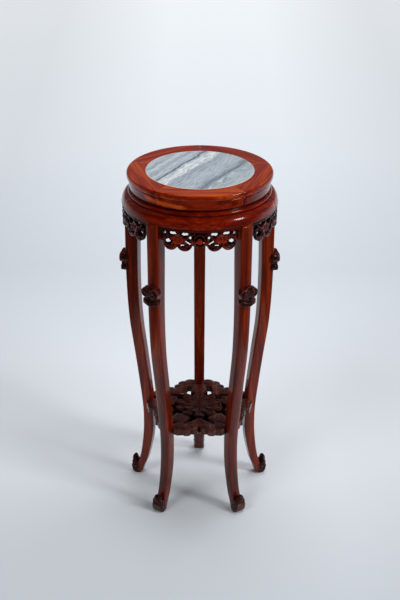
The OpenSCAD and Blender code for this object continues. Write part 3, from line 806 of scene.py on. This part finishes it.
def apron_field(s, z, d):
    """An apron laid flat: s along the bay, z up and d out from its back."""
    side = np.abs(s)
    edge = APRON_ENDS_Z - z
    for at, r, low in APRON_LOBES:
        edge = join(edge, np.hypot(side - at, z - low - r) - r, soft=2)
    hole = np.min([bar(side, z, start, end, r, r) for start, end, r in APRON_HOLES], axis=0)
    hole = hole + WOBBLE * np.sin(s * WOBBLE_ALONG + 1) * np.cos(z * WOBBLE_UP)
    rise = BORDER_RISE * ease((BORDER_W + edge) / BORDER_RUN) * (z < BORDER_TOP)
    rail = np.maximum(ease((side - STILE_AT) / RAIL_RUN), ease((z - RAIL_Z) / RAIL_RUN))
    rise = np.maximum(rise, RAIL_RISE * rail)
    for start, end, r in APRON_STEMS:
        away = bar(side, z, start, end, 0, 0) / (r + STEM_SPREAD)
        rise = np.maximum(rise, STEM_RISE * np.sqrt(np.clip(1 - away**2, 0, 1)))
    for leaf in APRON_LEAVES:
        rise = np.maximum(rise, leaf_rise(side, z, *leaf))
    rise = with_bud(s, z, np.maximum(rise, blossom_rise(side, z)))
    rise = np.maximum(rise, HOLE_RIM_RISE * ease((HOLE_RIM_W - hole) / HOLE_RIM_RUN))
    front = (d - APRON_GROUND - APRON_RISE * rise) * APRON_SLOPE
    board = cut(both(np.maximum(edge, z - LEG_TOP), front, soft=0.9), hole, soft=0.9)
    return np.maximum(np.maximum(board, -d), side - APRON_HALF + APRON_END_GAP)


# A redder stain. The pierced ground is painted black, as painted shade, so that blossom and leaf
# stand out bright.
apron_wood = rosewood(
    "rosewood, carved, stained red and lacquered",
    colours=("#360d08", "#6a1808", "#9c2a0c"), in_hollows="#030101", polish=0.3, coat=0.8, coat_ior=1.3,
)
APRON_IN_PLANK = np.array([230, 30, 0])
# The aprons at the two sides are painted darker than the others, as painted shade.
APRON_TONES = (0.2, -0.2, 0.3, -0.2, 0.2)
# Where the stain is redder: the place along the bay, the height and the reach.
APRON_REDS = ((*BLOSSOM_AT, 14), (54, 684, 9), (0, BUD_Z, 8))
RED_TONE = 0.5
RED_RUN = 3
APRON_SHADE_UP = 1.4
APRON_SHADE_RUN = 3.8
flat, apron_faces, apron_hollow = carve(apron_field, APRON_BOX, APRON_CELL, APRON_KEEP, APRON_REACH)
# The ground near the back of the relief is painted black, fading out up the relief, as painted shade.
apron_sunk = 1 - ease((flat[:, 2] - APRON_GROUND - APRON_SHADE_UP) / APRON_SHADE_RUN)
apron_red = np.zeros(len(flat))
for at, z, reach in APRON_REDS:
    apart = np.hypot(np.abs(flat[:, 0]) - at, flat[:, 1] - z)
    apron_red = np.maximum(apron_red, ease((reach - apart) / RED_RUN))
apron_turn = flat[:, 0] / (APRON_BACK_R + APRON_T)
apron_r = APRON_BACK_R + flat[:, 2]
apron = np.column_stack([apron_r * np.cos(apron_turn), apron_r * np.sin(apron_turn), flat[:, 1]])
for i, (azimuth, tone) in enumerate(zip(LEG_AZIMUTHS, APRON_TONES), 1):
    add_piece(
        f"apron_{i}", turned(apron, azimuth + PITCH / 2), apron_faces, apron_wood,
        grain=flat + i * APRON_IN_PLANK, tone=tone + RED_TONE * apron_red,
        hollow=np.maximum(apron_hollow, apron_sunk),
    )


# Cornice. Five segments of rosewood glued end to end on loose tenons, run with a bead, a quirk, a
# large ovolo and a thin lip along the bottom. The legs and aprons are tenoned into it from below.
SEAM = 0.12
SEAM_INSET = 0.08
SEAM_BEVEL = 0.25
RING_STEPS = 40
CORNICE_R = 171.5
CORNICE_IN_R = 129.5
CORNICE_Z = LEG_TOP
CORNICE_TOP = 760
CORNICE_TONE = 0.2
LIP_H = 3
LIP_EASE = 0.6
LIP_UNDER_EASE = 0.5
OVOLO_AT = (158.5, 732.5)
OVOLO_RADII = (12.4, 19)
OVOLO_STEPS = 16
QUIRK_R = 153.6
BEAD_R = 157.5
BEAD_HALF = 4.25
BEAD_STEPS = 12


def arc(centre, radii, start, end, steps):
    """Points along an elliptical arc in a section."""
    turns = np.radians(np.linspace(start, end, steps + 1))
    return [(centre[0] + radii[0] * math.cos(a), centre[1] + radii[1] * math.sin(a)) for a in turns]


def ring_segment(section):
    """A section swept through one bay, eased in and dark at both joints: points, faces and hollows."""
    section = np.array(section)
    tangent = np.roll(section, -1, 0) - np.roll(section, 1, 0)
    normal = np.column_stack([tangent[:, 1], -tangent[:, 0]])
    normal /= np.maximum(np.linalg.norm(normal, axis=1), TINY**3)[:, None]
    outer_r = section[:, 0].max()
    end = math.radians(PITCH) / 2 - SEAM / 2 / outer_r
    inner = end - SEAM_BEVEL / outer_r
    angles = np.concatenate([[-end], np.linspace(-inner, inner, RING_STEPS), [end]])
    rows = []
    for a in angles:
        rz = section - normal * SEAM_INSET * (abs(a) == end)
        rows.append(np.column_stack([rz[:, 0] * math.cos(a), rz[:, 0] * math.sin(a), rz[:, 1]]))
    hollow = np.repeat(np.abs(angles) == end, len(section)).astype(float)
    return np.concatenate(rows), tube_faces(len(rows), len(section)), hollow


cornice_section = [
    (CORNICE_IN_R, CORNICE_Z), (CORNICE_R - LIP_UNDER_EASE, CORNICE_Z), (CORNICE_R, CORNICE_Z + LIP_EASE),
    (CORNICE_R, CORNICE_Z + LIP_H - LIP_EASE), (CORNICE_R - LIP_EASE, CORNICE_Z + LIP_H),
]
cornice_section += arc(OVOLO_AT, OVOLO_RADII, 0, 90, OVOLO_STEPS)
cornice_section += [(QUIRK_R, OVOLO_AT[1] + OVOLO_RADII[1])]
bead_at = (BEAD_R - BEAD_HALF, CORNICE_TOP - BEAD_HALF)
cornice_section += arc(bead_at, (BEAD_HALF, BEAD_HALF), -90, 90, BEAD_STEPS)
cornice_section += [(CORNICE_IN_R, CORNICE_TOP)]
# Turned smooth and lacquered to a gloss: an orange red with clear figure under a sharp shine.
ring_wood = rosewood(
    "rosewood, turned and lacquered to a gloss",
    colours=("#5c0d02", "#8e2204", "#b8490f", "#d9560f"), in_hollows="#1c0703",
    polish=0.2, coat=0.9, coat_ior=1.35,
)
cornice, cornice_faces, cornice_seams = ring_segment(cornice_section)
bay_length = 2 * CORNICE_R * math.sin(math.radians(PITCH / 2))
for i, azimuth in enumerate(LEG_AZIMUTHS, 1):
    add_piece(
        f"cornice_segment_{i}", turned(cornice, azimuth + PITCH), cornice_faces, ring_wood,
        grain=cornice[:, [1, 0, 2]] + (bay_length * i, 0, 0),
        tone=CORNICE_TONE, hollow=cornice_seams,
    )


# Waist. Five plain segments of rosewood set back between the two mouldings, with a tongue let into
# each of them, so that only a narrow band shows.
WAIST_R = 149
WAIST_T = 14
WAIST_TOP = 765
# The whole waist is painted darker, as painted shade in its recess under the rim.
WAIST_SHADE = 0.5
WAIST_IN_PLANK = np.array([410, 25, 0])
waist_section = [
    (WAIST_R - WAIST_T, CORNICE_TOP), (WAIST_R, CORNICE_TOP), (WAIST_R, (CORNICE_TOP + WAIST_TOP) / 2),
    (WAIST_R, WAIST_TOP), (WAIST_R - WAIST_T, WAIST_TOP),
]
waist, waist_faces, waist_seams = ring_segment(waist_section)
for i, azimuth in enumerate(LEG_AZIMUTHS, 1):
    add_piece(
        f"waist_segment_{i}", turned(waist, azimuth + PITCH), waist_faces, ring_wood,
        grain=waist[:, [1, 0, 2]] + i * WAIST_IN_PLANK, tone=0,
        hollow=np.maximum(waist_seams, WAIST_SHADE),
    )


# Top ring. Five segments of rosewood with their joints over the legs, rabbeted for the marble, with
# a rounded rim over a tier that draws in to the waist. A pale streak is painted down across the tier
# at the front left, as painted light where the tier faces the front-left lamp.
RING_IN_R = 110.7
RING_Z = WAIST_TOP
RING_TOP = 800
RABBET_R = 118.7
RABBET_Z = 788
RABBET_EASE = 0.4
RABBET_EASE_H = 0.5
RABBET_FLAT = 2
TIER_R = 154.5
TIER_OUT = 2.5
TIER_ROUND = 3
TIER_ROUND_STEPS = 6
TIER_STEPS = 9
RIM_R = 160
RIM_Z = 785.3
RIM_QUIRK_R = 156.8
RIM_QUIRK_H = 0.8
RIM_FLAT_R = 153.5
RIM_UNDER = 6
RIM_UNDER_FROM = -68
RIM_UNDER_STEPS = 8
RIM_OVER = 5
RIM_OVER_STEPS = 10
tier_z = RING_Z + TIER_ROUND
tier_h = RIM_Z - RIM_QUIRK_H - tier_z
ring_section = [(RING_IN_R, RING_Z)]
ring_section += arc((TIER_R - TIER_ROUND, tier_z), (TIER_ROUND, TIER_ROUND), -90, 0, TIER_ROUND_STEPS)
ring_section += [
    (TIER_R + TIER_OUT * k / TIER_STEPS, tier_z + tier_h * k / TIER_STEPS) for k in range(1, TIER_STEPS + 1)
]
ring_section += [(RIM_QUIRK_R, RIM_Z)]
ring_section += arc(
    (RIM_R - RIM_UNDER, RIM_Z + RIM_UNDER), (RIM_UNDER, RIM_UNDER), RIM_UNDER_FROM, 0, RIM_UNDER_STEPS,
)
ring_section += arc((RIM_R - RIM_OVER, RING_TOP - RIM_OVER), (RIM_OVER, RIM_OVER), 0, 90, RIM_OVER_STEPS)
ring_section += [
    (RIM_FLAT_R, RING_TOP), (RABBET_R + RABBET_FLAT, RING_TOP), (RABBET_R + RABBET_EASE, RING_TOP),
    (RABBET_R, RING_TOP - RABBET_EASE_H), (RABBET_R, RABBET_Z), (RING_IN_R, RABBET_Z),
]
RING_IN_PLANK = np.array([530, 35, 0])
RING_TONES = (0.5, 0.5, 0.7, 0.52, 0.36)
FACE_TONE = 0.12
FACE_H = 1
RIM_TONE = -0.15
TIER_TONE = -0.42
# The streak is painted light, not a colour of the wood.
STREAK_FROM = 218
STREAK_TO = 264
STREAK_LOW = 4
STREAK_DROP = 9
STREAK_HALF = 6
STREAK_SOFT = 1.3
LIT_PATCH_TONE = 1.3
STREAK_START = 1 / 6
STREAK_END = 1 / 4
ring, ring_faces, ring_seams = ring_segment(ring_section)
ring_z = ring[:, 2]
level_tone = np.select([ring_z > RING_TOP - FACE_H, ring_z > RIM_Z], [FACE_TONE, RIM_TONE], TIER_TONE)
for i, (azimuth, tone) in enumerate(zip(LEG_AZIMUTHS, RING_TONES), 1):
    placed = turned(ring, azimuth + PITCH / 2)
    way = np.degrees(np.arctan2(placed[:, 1], placed[:, 0])) % 360
    gone = (way - STREAK_FROM) / (STREAK_TO - STREAK_FROM)
    off = np.abs(ring_z - (RING_Z + STREAK_LOW + STREAK_DROP * (1 - gone))) / STREAK_HALF
    ends = ease(gone / STREAK_START) * ease((1 - gone) / STREAK_END)
    painted_light_patch = LIT_PATCH_TONE * ends * ease(STREAK_SOFT - off) * (ring_z < RIM_Z)
    add_piece(
        f"top_ring_segment_{i}", placed, ring_faces, ring_wood,
        grain=ring[:, [1, 0, 2]] + i * RING_IN_PLANK, tone=level_tone + painted_light_patch + tone, hollow=ring_seams,
    )


# Battens and loose tenons. Plain planed hardwood inside the top, seen only from below: two battens
# under the marble, and a loose tenon across each joint of the top ring and of the cornice.
FIBRE_LENGTH = 90 * MM
FIBRE_WIDTH = 3 * MM
# Planed fibres without a finish: a paler brown, matt and finely streaked.
planed = bpy.data.materials.new("hardwood, planed and left bare")
planed.use_nodes = True
tree = planed.node_tree
place = add_node(tree, "TexCoord").outputs["Object"]
scaled = add_node(
    tree, "VectorMath", {0: place, 1: (1 / FIBRE_LENGTH, 1 / FIBRE_WIDTH, 1 / FIBRE_WIDTH)},
    operation="MULTIPLY",
)
fibre = add_node(tree, "TexNoise", {"Vector": scaled.outputs[0], "Scale": 1, "Detail": 3}).outputs["Fac"]
ramp = add_node(tree, "ValToRGB", {0: fibre}, stops=((0.3, "#6b4026"), (0.7, "#9a6a44")))
shader = tree.nodes["Principled BSDF"]
tree.links.new(ramp.outputs[0], shader.inputs["Base Color"])
shader.inputs["Roughness"].default_value = 0.6
for node in ("front_batten", "back_batten", "top_ring_loose_tenons", "cornice_loose_tenons"):
    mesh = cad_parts[node].data
    mesh.materials.clear()
    mesh.materials.append(planed)


# Marble. One disc of grey marble, sawn across its bedding and polished, with its edge chamfered. It
# lies loose in the ring's rabbet, flush with the top.
MARBLE_R = 118.4
MARBLE_STEPS = 144
MARBLE_UNDER_EASE = 0.6
MARBLE_EASE = 0.8
MARBLE_MID_R = 60
AXIS_R = 0.01
# Half of the disc's section: the radius, the height, and 1 where the edge is bruised.
bruised_edge = [
    (AXIS_R, RABBET_Z, 0), (MARBLE_R - MARBLE_UNDER_EASE, RABBET_Z, 0),
    (MARBLE_R, RABBET_Z + MARBLE_UNDER_EASE, 0), (MARBLE_R, RING_TOP - MARBLE_EASE, 1),
    (MARBLE_R - MARBLE_EASE, RING_TOP, 1), (MARBLE_R - 2 * MARBLE_EASE, RING_TOP, 0),
    (MARBLE_MID_R, RING_TOP, 0), (AXIS_R, RING_TOP, 0),
]
marble_turns = np.radians(np.arange(MARBLE_STEPS) * 360 / MARBLE_STEPS)
marble_disc = np.concatenate([
    np.column_stack([r * np.cos(marble_turns), r * np.sin(marble_turns), np.full(MARBLE_STEPS, z)])
    for r, z, bruise in bruised_edge
])
bruises = np.repeat([bruise for r, z, bruise in bruised_edge], MARBLE_STEPS)

BED_TURN = math.radians(60)
BED_HALF = 120
BED_SWAY = 26
BED_SWAY_SIZE = 55
THREAD_SIZE = (34, 1.9, 8)
FLECK_SIZE = (24, 5, 8)
# Fine crystal polished smooth: soft grey beds with thin dark threads and white flecks, under a clear
# shine, and a chalky line where the edge is bruised.
marble = bpy.data.materials.new("grey marble, sawn and polished")
marble.use_nodes = True
tree = marble.node_tree
plan = add_node(tree, "Attribute", attribute_name="grain").outputs["Vector"]
warp = add_node(
    tree, "TexNoise", {"Vector": plan, "Scale": 1 / BED_SWAY_SIZE, "Detail": 4, "Roughness": 0.55},
)
push = add_node(tree, "VectorMath", {0: warp.outputs["Color"], 1: (0.5, 0.5, 0.5)}, operation="SUBTRACT")
moved = add_node(
    tree, "VectorMath", {0: push.outputs[0], 1: (BED_SWAY, BED_SWAY, BED_SWAY), 2: plan},
    operation="MULTIPLY_ADD",
)
across = add_node(tree, "VectorMath", {0: moved.outputs[0], 1: (0, 1, 0)}, operation="DOT_PRODUCT")
band = add_node(tree, "MapRange", {0: across.outputs["Value"], 1: -BED_HALF, 2: BED_HALF, 3: 0, 4: 1})
beds = add_node(tree, "ValToRGB", {0: band.outputs[0]}, stops=(
    (0.0, "#d3dce2"), (0.1, "#a9b4be"), (0.14, "#d2dae1"), (0.19, "#a8b3bf"), (0.24, "#c9d2da"),
    (0.285, "#b4c0ca"), (0.303, "#546170"), (0.32, "#b3bec8"), (0.36, "#d6dde3"), (0.42, "#ccd4db"),
    (0.45, "#a3afbb"), (0.6, "#bcc8d2"), (0.7, "#b0bcc7"), (0.755, "#76838f"), (0.785, "#a3b0bb"),
    (0.88, "#b0bcc6"), (1.0, "#c2ccd4"),
))
long = add_node(
    tree, "VectorMath", {0: moved.outputs[0], 1: tuple(1 / size for size in THREAD_SIZE)},
    operation="MULTIPLY",
)
threads = add_node(tree, "TexNoise", {"Vector": long.outputs[0], "Scale": 1, "Detail": 4, "Roughness": 0.6})
thin_dark = add_node(tree, "MapRange", {0: threads.outputs["Fac"], 1: 0.34, 2: 0.58, 3: 0.62, 4: 1.08})
veined = add_node(
    tree, "Mix", {0: 1, 6: beds.outputs[0], 7: thin_dark.outputs[0]},
    data_type="RGBA", blend_type="MULTIPLY",
)
crumbs = add_node(
    tree, "VectorMath", {0: moved.outputs[0], 1: tuple(1 / size for size in FLECK_SIZE)},
    operation="MULTIPLY",
)
fleck = add_node(tree, "TexNoise", {"Vector": crumbs.outputs[0], "Scale": 1, "Detail": 3, "Roughness": 0.65})
white = add_node(tree, "MapRange", {0: fleck.outputs["Fac"], 1: 0.46, 2: 0.62, 3: 0, 4: 1})
where = add_node(tree, "ValToRGB", {0: band.outputs[0]}, stops=(
    (0.31, "#202020"), (0.35, "#ffffff"), (0.42, "#ffffff"), (0.46, "#505050"), (0.77, "#505050"),
    (0.8, "#c8c8c8"), (0.86, "#606060"),
))
share = add_node(tree, "Math", {0: white.outputs[0], 1: where.outputs[0]}, operation="MULTIPLY")
flecked = add_node(
    tree, "Mix", {0: share.outputs[0], 6: veined.outputs[2], 7: linear("#f6f8fa")}, data_type="RGBA",
)
chalky = add_node(tree, "Attribute", attribute_name="tone").outputs["Fac"]
edged = add_node(tree, "Mix", {0: chalky, 6: flecked.outputs[2], 7: linear("#e3ded0")}, data_type="RGBA")
shader = tree.nodes["Principled BSDF"]
tree.links.new(edged.outputs[2], shader.inputs["Base Color"])
shader.inputs["Roughness"].default_value = 0.22
shader.inputs["IOR"].default_value = 1.55
x, y, z = marble_disc.T
along = x * math.cos(BED_TURN) + y * math.sin(BED_TURN)
over = x * math.sin(BED_TURN) - y * math.cos(BED_TURN)
add_piece(
    "marble_disc", marble_disc, tube_faces(len(bruised_edge), MARBLE_STEPS), marble,
    grain=np.column_stack([along, over, z]), tone=bruises,
)


# Floor, light and camera. A pale seamless floor under a wide soft light overhead, two softboxes at
# the front and a small glint from the right, seen from standing height. Lengths here are metres. The
# near part of the floor shows in the lacquer and the far part does not.
FLOOR_HALF = 30
NEAR_HALF = 0.7
NEAR_FRONT = -0.75
corners = ((-1, -1), (1, -1), (1, 1), (-1, 1))
floor_points = [(half * sx, half * sy, 0) for half in (NEAR_HALF, FLOOR_HALF) for sx, sy in corners]
floor_points[:2] = [(x, NEAR_FRONT, 0) for x, y, z in floor_points[:2]]
near_faces = [(0, 1, 2, 3)]
far_faces = [(k + 4, (k + 1) % 4 + 4, (k + 1) % 4, k) for k in range(4)]
# Matt paper: a pale ground that takes soft shadows and hardly shines. It is painted darker towards
# the front, in a band behind the stand and to both sides, and palest far behind, as painted shade
# and light.
paper = bpy.data.materials.new("pale paper floor")
paper.use_nodes = True
tree = paper.node_tree
depth = add_node(tree, "SeparateXYZ", {0: add_node(tree, "TexCoord").outputs["Object"]})
sweep = add_node(tree, "MapRange", {0: depth.outputs["Y"], 1: -0.7, 2: 4.7, 3: 0, 4: 1})
pale = add_node(tree, "ValToRGB", {0: sweep.outputs[0]}, stops=(
    (0, "#c3cad0"), (0.15, "#dfe4ea"), (0.24, "#e4e9f0"), (0.36, "#d9dfe7"), (0.55, "#e6ecf2"),
    (1, "#f3f7fb"),
))
apart = add_node(tree, "Math", {0: depth.outputs["X"], 1: 0.08}, operation="SUBTRACT")
aside = add_node(tree, "Math", {0: apart.outputs[0]}, operation="ABSOLUTE")
fade = add_node(tree, "MapRange", {0: aside.outputs[0], 1: 0.25, 2: 0.8, 3: 1, 4: 0.84})
faded = add_node(
    tree, "Mix", {0: 1, 6: pale.outputs[0], 7: fade.outputs[0]}, data_type="RGBA", blend_type="MULTIPLY",
)
shader = tree.nodes["Principled BSDF"]
tree.links.new(faded.outputs[2], shader.inputs["Base Color"])
shader.inputs["Roughness"].default_value = 0.8
shader.inputs["Specular IOR Level"].default_value = 0.2
for name, faces, mirrored in (("near_floor", near_faces, True), ("far_floor", far_faces, False)):
    mesh = bpy.data.meshes.new(name)
    mesh.from_pydata(floor_points, [], faces)
    mesh.materials.append(paper)
    floor = bpy.data.objects.new(name, mesh)
    floor.visible_glossy = mirrored
    bpy.context.scene.collection.objects.link(floor)

# The camera alone sees an even pale backdrop. There is no metal or glass here to mirror it, and the
# lacquer shows the studio's own levels.
world = bpy.data.worlds.new("studio, pale behind and dark in front")
world.use_nodes = True
tree = world.node_tree
ahead = add_node(tree, "SeparateXYZ", {0: add_node(tree, "TexCoord").outputs["Generated"]})
behind = add_node(tree, "MapRange", {0: ahead.outputs["Y"], 1: -0.15, 2: 0.3, 3: 0.02, 4: 1})
height = add_node(tree, "MapRange", {0: ahead.outputs["Z"], 1: -0.05, 2: 0.15, 3: 0.85, 4: 0.16})
leftward = add_node(tree, "MapRange", {0: ahead.outputs["X"], 1: -0.9, 2: -0.1, 3: 0.75, 4: 1})
backlit = add_node(tree, "Math", {0: behind.outputs[0], 1: height.outputs[0]}, operation="MULTIPLY")
lit = add_node(tree, "Math", {0: backlit.outputs[0], 1: leftward.outputs[0]}, operation="MULTIPLY")
seen = add_node(tree, "LightPath").outputs["Is Camera Ray"]
level = add_node(tree, "Mix", {0: seen, 2: lit.outputs[0], 3: 0.86})
backdrop = tree.nodes["Background"]
backdrop.inputs["Color"].default_value = linear("#e9eef7")
tree.links.new(level.outputs[0], backdrop.inputs["Strength"])
bpy.context.scene.world = world

for name, azimuth, elevation, spread, strength, mirrored in (
    ("overhead", 150, 70, 48, 1.6, False),
    ("front_left", -41, 44, 24, 0.75, False),
    ("front_right", 50, 43, 22, 0.6, False),
    ("right_glint", 62, 27, 15, 1.25, True),
):
    lamp = bpy.data.lights.new(name, "SUN")
    lamp.angle = math.radians(spread)
    lamp.energy = strength
    holder = bpy.data.objects.new(name, lamp)
    holder.rotation_euler = (math.radians(90 - elevation), 0, math.radians(azimuth))
    holder.visible_glossy = mirrored
    bpy.context.scene.collection.objects.link(holder)

CAMERA_AT = (0.00115, -2.8919, 1.8844)
CAMERA_PITCH = 0.4507
CAMERA_ROLL = 0.0036
CAMERA_LENS = 85
CAMERA_SENSOR = 36
camera = bpy.data.objects.new("camera", bpy.data.cameras.new("camera"))
camera.data.lens = CAMERA_LENS
camera.data.sensor_width = CAMERA_SENSOR
camera.matrix_world = (
    Matrix.Translation(CAMERA_AT)
    @ Matrix.Rotation(math.pi / 2 - CAMERA_PITCH, 4, "X")
    @ Matrix.Rotation(CAMERA_ROLL, 4, "Z")
)
bpy.context.scene.collection.objects.link(camera)
bpy.context.scene.camera = camera
bpy.context.scene.view_settings.view_transform = "Standard"
